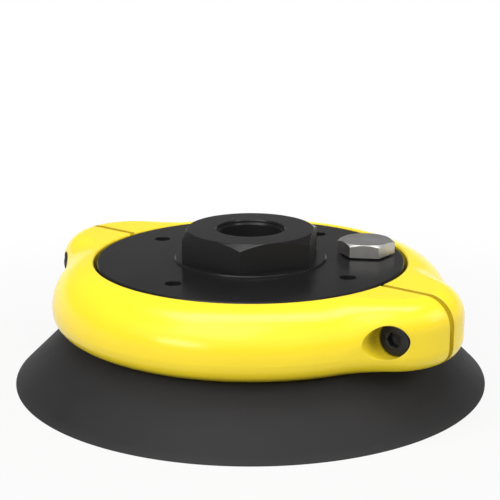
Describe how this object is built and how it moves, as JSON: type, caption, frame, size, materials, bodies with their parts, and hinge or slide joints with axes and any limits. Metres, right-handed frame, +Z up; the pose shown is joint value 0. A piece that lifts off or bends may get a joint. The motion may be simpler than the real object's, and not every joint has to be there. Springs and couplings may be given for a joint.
{
  "type": "flat vacuum cup",
  "caption": "Flat rubber vacuum cup clamped by a split plastic ring to a round plate with a hex boss, a threaded vacuum port and a plugged side port.",
  "frame": {"origin": "centre of the lip's sealing plane", "axes": "+Z up the vacuum port, out of its mouth; +X along the clamp's split line, out through an ear; -Y towards the clamp half that takes the screw heads"},
  "size_m": [0.113, 0.113, 0.036],
  "materials": {
    "cup_rubber": "matte moulded rubber",
    "black_anodised": "black anodised, satin",
    "yellow_plastic": "satin moulded plastic",
    "black_steel": "black oxide",
    "insert_brass": "turned",
    "plug_steel": "satin turned",
    "seal_rubber": "matte"
  },
  "bodies": {
    "root": {"suction_cup": "cup_rubber", "mounting_plate": "black_anodised", "front_clamp_half": "yellow_plastic", "rear_clamp_half": "yellow_plastic", "clamp_screws": "black_steel", "thread_inserts": "insert_brass", "port_plug": "plug_steel", "plug_seal": "seal_rubber"}
  },
  "joints": []
}
